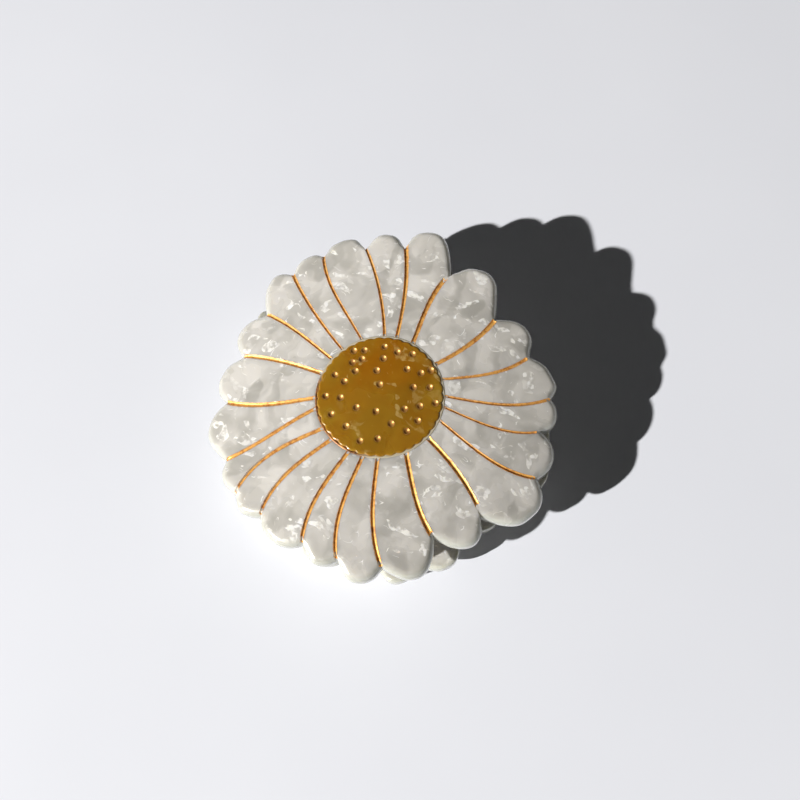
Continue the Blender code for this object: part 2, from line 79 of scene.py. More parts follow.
# Disc.
DISC_RADIUS = 13.0
DISC_REACH = 13.1           # the disc's edge, just inside its seat
CROWN_BUFFED = 0.1
DISC_SUNK = 1.6
SEAT_GAP = 0.3
SEAT_LIP = 0.15
SEAT_FLOOR = -CROWN_BUFFED - DISC_SUNK - SEAT_GAP
SCALLOPS = 38
SCALLOP_DEPTH = 0.3
DISC_EDGE = 0.4
DIMPLE_RADIUS = 0.7
DIMPLE_DEPTH = 0.44

# Torsion spring.
WIRE_RADIUS = 0.5
COIL_RADIUS = 2.4
COIL_PITCH = 1.25
COIL_FULL_TURNS = 4
LEG_ANGLE = math.radians(15.0)
LEG_LENGTH = 13.5
COIL_STEPS = 40             # sections of wire in each turn
LEG_STEPS = 12
WIRE_SIDES = 16
WIRE_TIP = 0.7              # radius of the wire's rounded ends over its own

# Each groove between two petals: its bearing in degrees at the disc, halfway out and at the notch,
# then the notch's distance from the centre.
GROOVES = [
    (134, 139, 137, 38.5),
    (113, 118, 123, 37.0),
    (102, 105, 109, 36.5),
    (86, 91, 89, 32.5),
    (57, 59, 64, 30.5),
    (42, 40, 45, 33.0),
    (26, 24, 29, 35.5),
    (16, 12, 17, 33.5),
    (3, -3, 1, 35.5),
    (-16, -18, -23, 31.0),
    (-39, -44, -42, 30.0),
    (-64, -66, -62, 34.0),
    (-77, -81, -77, 33.5),
    (-90, -94, -90, 33.0),
    (-109, -113, -108, 33.5),
    (-122, -126, -120, 35.0),
    (-143, -135, -133, 34.0),
    (-153, -152, -156, 33.0),
    (-177, -177, -175, 32.5),
    (-193, -195, -194, 34.0),
    (-206, -208, -211, 38.0),
]

# The gold line in each groove: its half width at the disc and at the rim, then how far it stops
# short of the notch.
LINES = [
    (0.22, 0.34, 0.3),
    (0.29, 0.36, 0.3),
    (0.32, 0.40, 0.3),
    (0.43, 0.48, 2.2),
    (0.37, 0.48, 0.8),
    (0.25, 0.32, 1.0),
    (0.23, 0.29, 0.4),
    (0.20, 0.24, 1.0),
    (0.25, 0.32, 0.6),
    (0.46, 0.47, 2.2),
    (0.46, 0.47, 1.0),
    (0.37, 0.39, 0.3),
    (0.37, 0.37, 0.3),
    (0.37, 0.37, 0.3),
    (0.37, 0.36, 0.3),
    (0.39, 0.36, 0.3),
    (0.39, 0.36, 0.3),
    (0.40, 0.47, 0.5),
    (0.43, 0.40, 0.4),
    (0.29, 0.37, 0.3),
    (0.22, 0.34, 0.3),
]

# The outer edge of the petal that follows each groove, as bearings and distances between its notches.
PETAL_EDGES = [
    [(134, 40.5), (131, 41.0), (128, 41.0), (125, 40.0)],
    [(119, 40.0), (116, 40.5), (112, 39.5)],
    [(107, 40.0), (103, 41.5), (99, 41.5), (96, 40.0), (93, 37.0)],
    [(86, 35.5), (82, 37.0), (78, 37.5), (74, 36.5), (70, 34.0)],
    [(60, 33.5), (56, 35.0), (51, 35.0), (47, 33.5)],
    [(41, 35.5), (37, 36.5), (33, 37.0)],
    [(26, 36.5), (22, 36.5), (19, 35.5)],
    [(15, 35.5), (11, 37.0), (6, 37.0)],
    [(-2, 37.5), (-6, 38.5), (-11, 38.0), (-15, 37.0), (-19, 34.5)],
    [(-26, 33.5), (-30, 34.5), (-34, 34.0), (-38, 32.5)],
    [(-45, 33.5), (-49, 36.0), (-54, 36.5), (-58, 35.5)],
    [(-65, 36.0), (-69, 37.0), (-73, 36.5)],
    [(-80, 35.0), (-84, 35.5), (-87, 34.5)],
    [(-93, 34.5), (-97, 35.5), (-101, 35.5), (-105, 35.0)],
    [(-111, 35.0), (-115, 36.0)],
    [(-123, 35.5), (-126, 36.0), (-130, 35.5)],
    [(-136, 35.0), (-139, 36.0), (-144, 37.0), (-149, 36.5), (-153, 35.0)],
    [(-159, 35.0), (-163, 36.0), (-166, 36.0), (-171, 35.0)],
    [(-178, 35.0), (-181, 36.5), (-185, 37.0), (-190, 36.0)],
    [(-198, 37.5), (-202, 40.0), (-206, 41.0), (-209, 40.0)],
    [(-213, 39.5), (-216, 40.5), (-219, 40.5), (-221, 40.0)],
]

# Centres of the dimples drilled in a disc.
DIMPLES = [
    (-9.5, 6.5), (-7.5, 7.5), (-7.0, 5.5), (-8.5, 4.0), (-7.0, 2.5), (-10.5, 0.0), (-8.0, -0.5),
    (-4.0, 10.0), (-3.0, 7.5), (-1.0, 10.0), (2.0, 11.0), (-3.0, 4.5), (2.5, 7.5), (5.5, 8.0),
    (7.0, 9.5), (-1.0, 2.0), (5.5, 4.5), (8.5, 6.0), (-10.0, -5.0), (-7.0, -4.0), (-3.0, -4.5),
    (-7.0, -8.0), (1.0, -3.5), (6.0, -0.5), (8.5, 1.5), (11.0, 3.5), (-3.0, -9.0), (5.0, -4.5),
    (9.5, -1.5), (8.5, -4.5), (1.0, -10.5), (4.0, -8.5),
]

# Where a petal has columns of vertices: beside a groove in half widths of its line, the rest evenly.
BESIDE_GROOVE = (0.0, 0.35, 0.65, 0.88, 1.0, 1.2, 1.7, 2.5)
EVEN_COLUMNS = 14
PLATE_ROWS = 26
ROUNDING_ROWS = 8
UNDERSIDE_ROWS = (0.9, 0.7, 0.45, 0.2, 0.0)

# A vertex attribute that tells a finish where it is: on a plate 0 inside and 1 at the rim, on the
# groove round a disc 1 on the side towards the key light, where its dark copper is painted shade.
RIM_AND_PAINTED_SHADE = "rim"
EDGE_FOOT = 0.25            # its value at the foot of a plate's rounded edge


# ---------------------------------------------------------------- frames

MID_DIRECTION = Vector((0.0, math.cos(HALF_ANGLE), math.sin(HALF_ANGLE)))
MID_NORMAL = Vector((0.0, -math.sin(HALF_ANGLE), math.cos(HALF_ANGLE)))


def back_place(point):
    """A point of the jaw frame, as it lies in the back jaw."""
    x, y, z = point
    return Vector((x, y, -z))


def front_place(point):
    """The same point in the front jaw, which mirrors the back one in the middle plane."""
    back = back_place(point)
    distance = back.dot(MID_NORMAL) - FACE_SPACING / 2
    return back - MID_NORMAL * (2 * distance)


JAWS = {"back": back_place, "front": front_place}


# ---------------------------------------------------------------- building blocks

def add_piece(name, bm, material, body, smooth_angle=50.0):
    """Turns a mesh in millimetres into one named piece that rides on a body."""
    bmesh.ops.recalc_face_normals(bm, faces=bm.faces)
    bmesh.ops.scale(bm, verts=bm.verts, vec=(MM, MM, MM))
    mesh = bpy.data.meshes.new(name)
    bm.to_mesh(mesh)
    bm.free()
    mesh.shade_smooth()
    mesh.set_sharp_from_angle(angle=math.radians(smooth_angle))
    mesh.materials.append(material)
    piece = bpy.data.objects.new(name, mesh)
    bpy.context.scene.collection.objects.link(piece)
    if body:
        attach(piece, body)
    return piece


def add_ring(bm, points):
    """One row of vertices."""
    return [bm.verts.new(point) for point in points]


def join_rings(bm, rings):
    """Bands of faces between each closed row of vertices and the next."""
    for first, second in zip(rings, rings[1:]):
        for i in range(len(first)):
            j = (i + 1) % len(first)
            bm.faces.new((first[i], first[j], second[j], second[i]))


def close_ring(bm, ring, centre):
    """A fan of triangles that closes a row at its centre."""
    hub = bm.verts.new(centre)
    for i in range(len(ring)):
        bm.faces.new((ring[i], ring[(i + 1) % len(ring)], hub))


def circle(radius, sides):
    """Corners of a regular polygon, as (first, second) pairs."""
    points = []
    for i in range(sides):
        angle = 2 * math.pi * i / sides
        points.append((radius * math.cos(angle), radius * math.sin(angle)))
    return points


def mix(a, b, share):
    """The value a share of the way from a to b."""
    return a + (b - a) * share


def ease(value):
    """Smooth step from 0 to 1."""
    value = min(max(value, 0.0), 1.0)
    return value * value * (3 - 2 * value)


# ---------------------------------------------------------------- flower outline

def polish_wave(x, y):
    """The faint waviness that hand polishing leaves on a face."""
    return 0.015 * math.sin(0.55 * x + 0.31 * y + 1.0) + 0.012 * math.sin(0.72 * y - 0.38 * x)


def crown_drop(x, y):
    """How far the bowed plate falls below its crown."""
    return (PLATE_BOW_ACROSS * x * x + PLATE_BOW_ALONG * y * y) / 2


def outer_z(x, y):
    """The plate's outer face."""
    return -CROWN_BUFFED - crown_drop(x, y) + polish_wave(x, y)


def inner_z(x, y):
    """The plate's inner face."""
    return -CROWN_BUFFED - crown_drop(x, y) - PLATE_THICK


def disc_z(x, y):
    """The disc's face: flat on the crown, then bent with the plate."""
    return min(0.0, CROWN_BUFFED - crown_drop(x, y))


def edge_drop(inset):
    """Height lost to the rounded edge at a distance inside the outline."""
    reach = max(EDGE_ROUNDING - inset, 0.0) / EDGE_ROUNDING
    return EDGE_ROUNDING * (1 - math.sqrt(max(1 - reach * reach, 0.0)))


def groove_bearing(groove, share):
    """Bearing of a groove, share 0 at the disc and 1 at the notch, on a smooth curve."""
    start, middle, end, _ = groove
    bend = middle - (start + end) / 2
    return start + (end - start) * share + 4 * bend * share * (1 - share)


def groove_after(i):
    """The groove that ends petal i, its bearings counted on past a full turn."""
    if i + 1 < len(GROOVES):
        return GROOVES[i + 1]
    start, middle, end, rim = GROOVES[0]
    return start - 360, middle - 360, end - 360, rim


def petal_radius(i, position):
    """Outline distance of petal i, position 0 at one notch and 1 at the next, on a smooth curve."""
    before, after = GROOVES[i], groove_after(i)
    knots = [(before[2], before[3]), *PETAL_EDGES[i], (after[2], after[3])]
    bearing = before[2] + (after[2] - before[2]) * position
    k = 0
    while k < len(knots) - 2 and bearing < knots[k + 1][0]:
        k += 1
    (b0, r0), (b1, r1) = knots[k], knots[k + 1]
    slope_in = slope_out = (r1 - r0) / (b1 - b0)
    if k > 0:
        slope_in = (r1 - knots[k - 1][1]) / (b1 - knots[k - 1][0])
    if k < len(knots) - 2:
        slope_out = (knots[k + 2][1] - r0) / (knots[k + 2][0] - b0)
    t = (bearing - b0) / (b1 - b0)
    step = b1 - b0
    return (
        r0 * (1 + 2 * t) * (1 - t) ** 2
        + slope_in * step * t * (1 - t) ** 2
        + r1 * t * t * (3 - 2 * t)
        - slope_out * step * t * t * (1 - t)
    )


class Flower:
    """The plan of one flower, cut at a given size, turned by some degrees and shifted off its disc."""

    def __init__(self, size, turn, shift):
        self.size = size
        self.turn = turn
        self.shift = shift
        self.columns = []
        for i in range(len(GROOVES)):
            self.columns += [(i, "before", across) for across in BESIDE_GROOVE]
            self.columns += [(i, "between", k / EVEN_COLUMNS) for k in range(1, EVEN_COLUMNS)]
            self.columns += [(i, "after", across) for across in BESIDE_GROOVE[:0:-1]]

    def line_half_width(self, i, share):
        """Half the width of the line in groove i, at a share of the way out."""
        start, end, _ = LINES[i % len(LINES)]
        return mix(start, end, share)

    def line_end(self, i):
        """Share of the way out at which the line in groove i stops."""
        return 1 - LINES[i][2] / self.groove_length(i)

    def channel(self, i, share):
        """Depth of groove i's channel, which comes up in a short ramp where its line ends."""
        i = i % len(LINES)
        left = (self.line_end(i) - share) * self.groove_length(i)
        return CHANNEL_DEPTH * math.sqrt(min(max(left / CHANNEL_RUN_OUT, 0.0), 1.0))

    def position(self, column, share):
        """Place of a column between its petal's two grooves, 0 to 1, at a share of the way out."""
        i, kind, across = column
        before, after = GROOVES[i], groove_after(i)
        reach = mix(DISC_RADIUS, (before[3] + after[3]) / 2 * self.size, share)
        width = math.radians(groove_bearing(before, share) - groove_bearing(after, share)) * reach
        first = self.line_half_width(i, share) / width
        last = self.line_half_width(i + 1, share) / width
        if kind == "before":
            return across * first
        if kind == "after":
            return 1 - across * last
        start = BESIDE_GROOVE[-1] * first
        end = 1 - BESIDE_GROOVE[-1] * last
        return mix(start, end, across)

    def channel_cut(self, column, share):
        """How deep a column lies in the channel beside it."""
        i, kind, across = column
        if kind == "between":
            return 0.0
        groove = i if kind == "before" else i + 1
        return self.channel(groove, share) * math.sqrt(max(1 - across * across, 0.0))

    def column_length(self, column):
        """How far a column runs from the disc's edge to the rim."""
        return petal_radius(column[0], self.position(column, 1.0)) * self.size - DISC_RADIUS

    def on_column(self, column, share):
        """The point of a column at a share of the way from the disc to its own rim."""
        i = column[0]
        radius = DISC_RADIUS + self.column_length(column) * share
        near = groove_bearing(GROOVES[i], share)
        far = groove_bearing(groove_after(i), share)
        bearing = math.radians(mix(near, far, self.position(column, share)) + self.turn)
        return Vector((radius * math.cos(bearing), radius * math.sin(bearing))) + self.shift * share

    def groove_length(self, i):
        """How far groove i runs from the disc's edge to its notch."""
        return GROOVES[i][3] * self.size - DISC_RADIUS

    def edge_start(self, column):
        """Share of the way out at which a column reaches the rounded edge."""
        return 1 - EDGE_ROUNDING / self.column_length(column)

    def rim_points(self):
        """The outline, and at each of its points the direction into the plate: along a groove beside
        its line, and square to the outline clear of it."""
        rim = [self.on_column(column, 1.0) for column in self.columns]
        inward = []
        count = len(rim)
        for n, point in enumerate(rim):
            along = rim[(n + 1) % count] - rim[n - 1]
            straight_in = Vector((along.y, -along.x)).normalized()
            if straight_in.dot(point) > 0:
                straight_in = -straight_in
            column = self.columns[n]
            back_along = (self.on_column(column, self.edge_start(column)) - point).normalized()
            clear = 1.0 if column[1] == "between" else ease((column[2] - 1.0) / 1.5)
            inward.append(back_along.lerp(straight_in, clear).normalized())
        return rim, inward


# ---------------------------------------------------------------- flower plate

class Plate:
    """The rows of one flower plate, each as points, their heights and a value of the RIM_AND_PAINTED_SHADE attribute."""

    def __init__(self, flower):
        self.flower = flower
        self.rim, self.inward = flower.rim_points()
        self.length = [flower.column_length(column) for column in flower.columns]
        self.foot_shift = []
        for n, column in enumerate(flower.columns):
            foot = flower.on_column(column, flower.edge_start(column))
            self.foot_shift.append(self.rim[n] + self.inward[n] * EDGE_ROUNDING - foot)

    def way_out(self, n, share):
        """Share of a column's whole length, for a share of the part inside the rounded edge."""
        return mix(SEAT_GAP / self.length[n], self.flower.edge_start(self.flower.columns[n]), share)

    def inside(self, share):
        """Points of a row between the disc's seat and the foot of the rounded edge."""
        points = []
        for n, column in enumerate(self.flower.columns):
            point = self.flower.on_column(column, self.way_out(n, share))
            points.append(point + self.foot_shift[n] * share ** 4)
        return points

    def along_edge(self, inset):
        """Points of a row at a distance inside the outline."""
        return [point + inward * inset for point, inward in zip(self.rim, self.inward)]

    def seat_rows(self):
        """The wall of the disc's seat."""
        points = self.inside(0.0)
        yield points, [SEAT_FLOOR] * len(points), 0.0
        yield points, [outer_z(p.x, p.y) - SEAT_LIP for p in points], 0.0

    def face_rows(self):
        """The outer face, with its channels."""
        for k in range(1, PLATE_ROWS + 1):
            share = k / PLATE_ROWS
            points = self.inside(share)
            heights = []
            for n, p in enumerate(points):
                cut = self.flower.channel_cut(self.flower.columns[n], self.way_out(n, share))
                heights.append(outer_z(p.x, p.y) - cut)
            yield points, heights, EDGE_FOOT * ease((share - 0.8) / 0.2)

    def edge_rows(self):
        """The rounded edge between the outer face and the outline."""
        for k in range(1, ROUNDING_ROWS + 1):
            inset = EDGE_ROUNDING * (1 - math.sin(math.pi / 2 * k / ROUNDING_ROWS))
            points = self.along_edge(inset)
            heights = []
            for n, p in enumerate(points):
                cut = self.flower.channel_cut(self.flower.columns[n], 1 - inset / self.length[n])
                heights.append(outer_z(p.x, p.y) - edge_drop(inset) - cut)
            yield points, heights, EDGE_FOOT + (1 - EDGE_FOOT) * k / ROUNDING_ROWS

    def under_rows(self):
        """The rounded lower edge and the inner face."""
        for k in range(ROUNDING_ROWS + 1):
            angle = math.pi / 2 * k / ROUNDING_ROWS
            points = self.along_edge(UNDER_ROUNDING * (1 - math.cos(angle)))
            lift = UNDER_ROUNDING * (1 - math.sin(angle))
            yield points, [inner_z(p.x, p.y) + lift for p in points], 1.0 - 0.5 * k / ROUNDING_ROWS
        for share in UNDERSIDE_ROWS:
            points = self.inside(share)
            yield points, [inner_z(p.x, p.y) for p in points], EDGE_FOOT * ease((share - 0.5) / 0.5)

    def rows(self):
        """All rows, from the floor of the seat out and back under to the middle."""
        return itertools.chain(self.seat_rows(), self.face_rows(), self.edge_rows(), self.under_rows())


def flower_plate(name, jaw, flower, material):
    """The petals with rounded edges, a seat for the disc and engraved channels for the gold lines."""
    place = JAWS[jaw]
    bm = bmesh.new()
    rim_layer = bm.verts.layers.float.new(RIM_AND_PAINTED_SHADE)
    rings = []
    for points, heights, rim_value in Plate(flower).rows():
        ring = add_ring(bm, [place((p.x, p.y, z)) for p, z in zip(points, heights)])
        for vertex in ring:
            vertex[rim_layer] = rim_value
        rings.append(ring)
    join_rings(bm, rings)
    close_ring(bm, rings[0], place((0.0, 0.0, SEAT_FLOOR)))
    close_ring(bm, rings[-1], place((0.0, 0.0, inner_z(0.0, 0.0))))
    piece = add_piece(name, bm, material, f"{jaw}_jaw", 62.0)
    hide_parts(f"{jaw}_flower")


# ---------------------------------------------------------------- gold lines

LINE_PROFILE = (-1.12, -1.0, -0.88, -0.65, -0.35, 0.0, 0.35, 0.65, 0.88, 1.0, 1.12)    # in half widths
PAINT_PROUD = 0.022         # height of the paint's face over the channel
PAINT_THICK = 0.07
LINE_STEP = 0.4
LINE_START = 0.1            # distance from the disc's seat
LINE_TAPER = 0.35           # length of a line's rounded end


def line_row(flower, i, share, width):
    """Points across the paint in groove i's channel, at a share of the way out."""
    row = []
    for half_widths in LINE_PROFILE:
        across = half_widths * width
        if across > 0:
            column = (i, "before", across)
        else:
            column = ((i - 1) % len(GROOVES), "after", -across)
        p = flower.on_column(column, share)
        drop = edge_drop((1 - share) * flower.column_length(column))
        row.append((p.x, p.y, outer_z(p.x, p.y) - drop - flower.channel_cut(column, share) + PAINT_PROUD))
    return row


def gold_lines(name, jaw, flower, material, rng):
    """The gold paint that lines each engraved channel, as thin closed strips."""
    place = JAWS[jaw]
    bm = bmesh.new()
    for i in range(len(GROOVES)):
        length = flower.groove_length(i)
        start = (SEAT_GAP + LINE_START) / length
        end = flower.line_end(i)
        steps = int(length * (end - start) / LINE_STEP)
        rings = []
        for n in range(steps + 1):
            share = mix(start, end, n / steps)
            taper = math.sqrt(min(max((end - share) * length / LINE_TAPER, 0.05), 1.0))
            row = line_row(flower, i, share, rng.uniform(0.96, 1.06) * taper)
            top = [place(point) for point in row]
            bottom = [place((x, y, z - PAINT_THICK)) for x, y, z in reversed(row)]
            rings.append(add_ring(bm, top + bottom))
        join_rings(bm, rings)
        bm.faces.new(rings[0])
        bm.faces.new(rings[-1])
    add_piece(name, bm, material, f"{jaw}_jaw")


# ---------------------------------------------------------------- disc

FACE_RINGS = 62
EDGE_STEPS = 5              # in the disc's rounded edge
SCALLOP_STEPS = 10
CUP_SIDES = 24
CUP_PROFILE = (             # radius over the dimple's radius, and height over the disc's face
    (0.5, -0.4), (0.95, -0.2), (1.1, -0.02), (1.08, 0.012), (0.98, 0.015), (0.88, -0.03),
    (0.72, -0.14), (0.5, -0.23), (0.25, -0.29),
)
BAND_PROFILE = (            # distance outside the disc's radius, and height over its face
    (-0.2, -0.9), (-0.2, -0.34), (-0.02, -0.3), (0.1, -0.26), (0.2, -0.24), (0.3, -0.25),
    (0.4, -0.34), (0.4, -0.9),
)
SHADED_PAINT_MIDDLE = 235.0      # bearing at the middle of the dark copper, on the side towards the key light: painted shade
SHADED_PAINT_FADES = (0.55, 0.8)    # cosines of the angles from there between which the painted shade begins


def scalloped(radius, depth):
    """Corners of a circle whose edge is cut in small round scallops."""
    points = []
    steps = SCALLOPS * SCALLOP_STEPS
    for i in range(steps):
        angle = 2 * math.pi * i / steps
        cut = depth * (1 - abs(math.sin(angle * SCALLOPS / 2)))
        points.append(((radius - cut) * math.cos(angle), (radius - cut) * math.sin(angle)))
    return points


def dimple_depth(x, y):
    """Depth of the disc's face under its nearest dimple."""
    nearest = min((x - cx) ** 2 + (y - cy) ** 2 for cx, cy in DIMPLES)
    return DIMPLE_DEPTH * math.sqrt(max(1 - nearest / DIMPLE_RADIUS ** 2, 0.0))


def centre_disc(name, jaw, material):
    """The disc: a scalloped rounded edge, and a face bent with the plate and drilled with dimples."""
    place = JAWS[jaw]
    bottom_z = -CROWN_BUFFED - DISC_SUNK
    bm = bmesh.new()

    def row(points, depth):
        return add_ring(bm, [place((x, y, disc_z(x, y) - depth)) for x, y in points])

    base = scalloped(DISC_REACH, SCALLOP_DEPTH / 3)
    rings = [add_ring(bm, [place((x, y, bottom_z)) for x, y in base])]
    for k in range(EDGE_STEPS + 1):
        angle = math.pi / 2 * k / EDGE_STEPS
        inset = DISC_EDGE * (1 - math.cos(angle))
        rings.append(row(scalloped(DISC_REACH - inset, SCALLOP_DEPTH), DISC_EDGE * (1 - math.sin(angle))))
    for k in range(FACE_RINGS - 1, 0, -1):
        share = k / FACE_RINGS
        points = scalloped((DISC_REACH - DISC_EDGE) * share, SCALLOP_DEPTH * share ** 12)
        ring = [place((x, y, disc_z(x, y) - dimple_depth(x, y))) for x, y in points]
        rings.append(add_ring(bm, ring))
    join_rings(bm, rings)
    close_ring(bm, rings[0], place((0.0, 0.0, bottom_z)))
    close_ring(bm, rings[-1], place((0.0, 0.0, 0.0)))
    piece = add_piece(name, bm, material, f"{jaw}_jaw", 75.0)
    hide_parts(f"{jaw}_disc")


def dimple_cups(name, jaw, material, rng):
    """Gold paint that lines each dimple, as small thick bowls with a rolled lip."""
    place = JAWS[jaw]
    bm = bmesh.new()
    for cx, cy in DIMPLES:
        size = DIMPLE_RADIUS * rng.uniform(0.92, 1.04)
        face = disc_z(cx, cy)
        rings = []
        for radius, z in CUP_PROFILE:
            corners = [(cx + x, cy + y) for x, y in circle(size * radius, CUP_SIDES)]
            rings.append(add_ring(bm, [place((x, y, face + z)) for x, y in corners]))
        join_rings(bm, rings)
        close_ring(bm, rings[0], place((cx, cy, face + CUP_PROFILE[0][1])))
        close_ring(bm, rings[-1], place((cx, cy, face + CUP_PROFILE[-1][1])))
    add_piece(name, bm, material, f"{jaw}_jaw")


def disc_band(name, jaw, material):
    """The painted groove round the disc: a hollow ring between its scalloped edge and its seat."""
    place = JAWS[jaw]
    bm = bmesh.new()
    shaded_paint_layer = bm.verts.layers.float.new(RIM_AND_PAINTED_SHADE)
    fade_start, fade_end = SHADED_PAINT_FADES
    rings = []
    for from_edge, z in BAND_PROFILE:
        points = scalloped(DISC_RADIUS + from_edge, SCALLOP_DEPTH * max(0.0, 1 - from_edge / SEAT_GAP))
        ring = add_ring(bm, [place((x, y, disc_z(x, y) + z)) for x, y in points])
        # Dark copper only on the side towards the key light, as painted shade of the groove's near wall.
        for vertex, (x, y) in zip(ring, points):
            along = math.cos(math.atan2(y, x) - math.radians(SHADED_PAINT_MIDDLE))
            vertex[shaded_paint_layer] = ease((along - fade_start) / (fade_end - fade_start))
        rings.append(ring)
    join_rings(bm, rings + rings[:1])
    add_piece(name, bm, material, f"{jaw}_jaw")


# ---------------------------------------------------------------- spring

def spring_path():
    """The wire's centre line, one straight leg, the coil, then the other leg, and half the coil's width."""
    start = math.pi / 2 + LEG_ANGLE
    sweep = math.pi - 2 * LEG_ANGLE + 2 * math.pi * COIL_FULL_TURNS
    steps = COIL_STEPS * COIL_FULL_TURNS
    half_width = COIL_PITCH * sweep / (2 * math.pi) / 2
    path = []
    for i in range(steps + 1):
        share = i / steps
        angle = start + sweep * share
        radial = MID_DIRECTION * math.cos(angle) + MID_NORMAL * math.sin(angle)
        path.append(HINGE + radial * COIL_RADIUS + Vector((half_width - 2 * half_width * share, 0, 0)))
    upper_leg = MID_DIRECTION * math.cos(LEG_ANGLE) + MID_NORMAL * math.sin(LEG_ANGLE)
    lower_leg = MID_DIRECTION * math.cos(LEG_ANGLE) - MID_NORMAL * math.sin(LEG_ANGLE)
    upper = [path[0] + upper_leg * (LEG_LENGTH * (LEG_STEPS - k) / LEG_STEPS) for k in range(LEG_STEPS)]
    lower = [path[-1] + lower_leg * (LEG_LENGTH * (k + 1) / LEG_STEPS) for k in range(LEG_STEPS)]
    return upper + path + lower, half_width


def torsion_spring(material):
    """Round wire swept along the spring's path, with rounded ends."""
    path, half_width = spring_path()
    bm = bmesh.new()
    rings = []
    across = Vector((1.0, 0.0, 0.0))
    for i, point in enumerate(path):
        before = path[max(i - 1, 0)]
        after = path[min(i + 1, len(path) - 1)]
        along = (after - before).normalized()
        side = (across - along * across.dot(along)).normalized()
        normal = along.cross(side)
        radius = WIRE_RADIUS * (WIRE_TIP if i in (0, len(path) - 1) else 1.0)
        section = [point + side * a + normal * b for a, b in circle(radius, WIRE_SIDES)]
        rings.append(add_ring(bm, section))
    join_rings(bm, rings)
    close_ring(bm, rings[0], path[0])
    close_ring(bm, rings[-1], path[-1])
    piece = add_piece("spring_wire", bm, material, None)
    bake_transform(piece)
    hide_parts("hinge_spring")


# ---------------------------------------------------------------- carried-over CAD nodes

WELD_DISTANCE = 0.005
BEVEL_STEPS = 3
BEVEL_FROM = math.radians(35.0)    # edges sharper than this are rounded


def soften(node, material, width):
    """A CAD node keeps its shape and gets rounded edges and a real finish."""
    piece = frame["nodes"][node]
    piece.data.materials.clear()
    piece.data.materials.append(material)
    weld = piece.modifiers.new("weld", "WELD")
    weld.merge_threshold = WELD_DISTANCE * MM
    bevel = piece.modifiers.new("bevel", "BEVEL")
    bevel.width = width * MM
    bevel.segments = BEVEL_STEPS
    bevel.limit_method = "ANGLE"
    bevel.angle_limit = BEVEL_FROM


# ---------------------------------------------------------------- materials

FOLD_TILT = 0.13            # how far the normals of the pearl's folds and chips lean
CHIP_TILT = 0.05
SWIRL = 10.0                # how far the pearl's pattern is bent, in millimetres
EVEN_GREY = (0.5, 0.5, 0.5)
ACETATE_IOR = 1.49


class Finish:
    """A Principled material and short ways to add nodes to it."""

    def __init__(self, name):
        self.material = bpy.data.materials.new(name)
        self.material.use_nodes = True
        self.tree = self.material.node_tree
        self.shader = self.tree.nodes["Principled BSDF"]

    def node(self, kind, **settings):
        """A new node of some kind, with its settings."""
        made = self.tree.nodes.new(kind)
        for key, value in settings.items():
            setattr(made, key, value)
        return made

    def link(self, source, target):
        """Joins an output to an input."""
        self.tree.links.new(source, target)

    def place_mm(self):
        """Object coordinates in millimetres."""
        place = self.node("ShaderNodeTexCoord")
        return self.scaled(place.outputs["Object"], 1 / MM)

    def scaled(self, vector, factor):
        """A vector times a number."""
        scale = self.node("ShaderNodeVectorMath", operation="SCALE")
        self.link(vector, scale.inputs[0])
        scale.inputs["Scale"].default_value = factor
        return scale.outputs["Vector"]

    def vector_maths(self, a, b, operation="ADD"):
        """Two vectors added, or joined by another operation; the second may be constant."""
        made = self.node("ShaderNodeVectorMath", operation=operation)
        self.link(a, made.inputs[0])
        if isinstance(b, tuple):
            made.inputs[1].default_value = b
        else:
            self.link(b, made.inputs[1])
        return made.outputs["Vector"]

    def noise(self, vector, scale, detail=2.0, roughness=0.5):
        """Soft noise, its scale the number of waves in each millimetre."""
        made = self.node("ShaderNodeTexNoise")
        self.link(vector, made.inputs["Vector"])
        made.inputs["Scale"].default_value = scale
        made.inputs["Detail"].default_value = detail
        made.inputs["Roughness"].default_value = roughness
        return made

    def cells(self, vector, scale, softness):
        """Random cells that blend into their neighbours by some softness."""
        made = self.node("ShaderNodeTexVoronoi", feature="SMOOTH_F1")
        self.link(vector, made.inputs["Vector"])
        made.inputs["Scale"].default_value = scale
        made.inputs["Smoothness"].default_value = softness
        return made.outputs["Color"]

    def ramp(self, value, low, high):
        """Maps low..high smoothly to 0..1."""
        made = self.node("ShaderNodeMapRange", interpolation_type="SMOOTHSTEP")
        self.link(value, made.inputs["Value"])
        made.inputs["From Min"].default_value = low
        made.inputs["From Max"].default_value = high
        return made.outputs["Result"]

    def maths(self, operation, a, b=None):
        """An operation on one or two values, each linked or constant."""
        made = self.node("ShaderNodeMath", operation=operation)
        for value, socket in ((a, made.inputs[0]), (b, made.inputs[1])):
            if value is None:
                continue
            if isinstance(value, (int, float)):
                socket.default_value = value
            else:
                self.link(value, socket)
        return made.outputs["Value"]

    def blend_colours(self, share, a, b):
        """The colour a share of the way from a to b, each linked or constant."""
        made = self.node("ShaderNodeMix", data_type="RGBA")
        self.link(share, made.inputs["Factor"])
        for value, socket in ((a, made.inputs[6]), (b, made.inputs[7])):
            if isinstance(value, tuple):
                socket.default_value = (*value, 1.0)
            else:
                self.link(value, socket)
        return made.outputs[2]

    def channel_of(self, colour, name):
        """One channel of a colour, Red, Green or Blue."""
        made = self.node("ShaderNodeSeparateColor")
        self.link(colour, made.inputs["Color"])
        return made.outputs[name]

    def bump(self, height, strength, distance):
        """Relief of some depth in millimetres."""
        made = self.node("ShaderNodeBump")
        self.link(height, made.inputs["Height"])
        made.inputs["Strength"].default_value = strength
        made.inputs["Distance"].default_value = distance * MM
        self.use("Normal", made.outputs["Normal"])

    def use(self, socket, source):
        """Feeds one of the shader's sockets."""
        self.link(source, self.shader.inputs[socket])

    def set(self, **values):
        """Sets some of the shader's sockets to constants."""
        for key, value in values.items():
            self.shader.inputs[key.replace("_", " ")].default_value = value


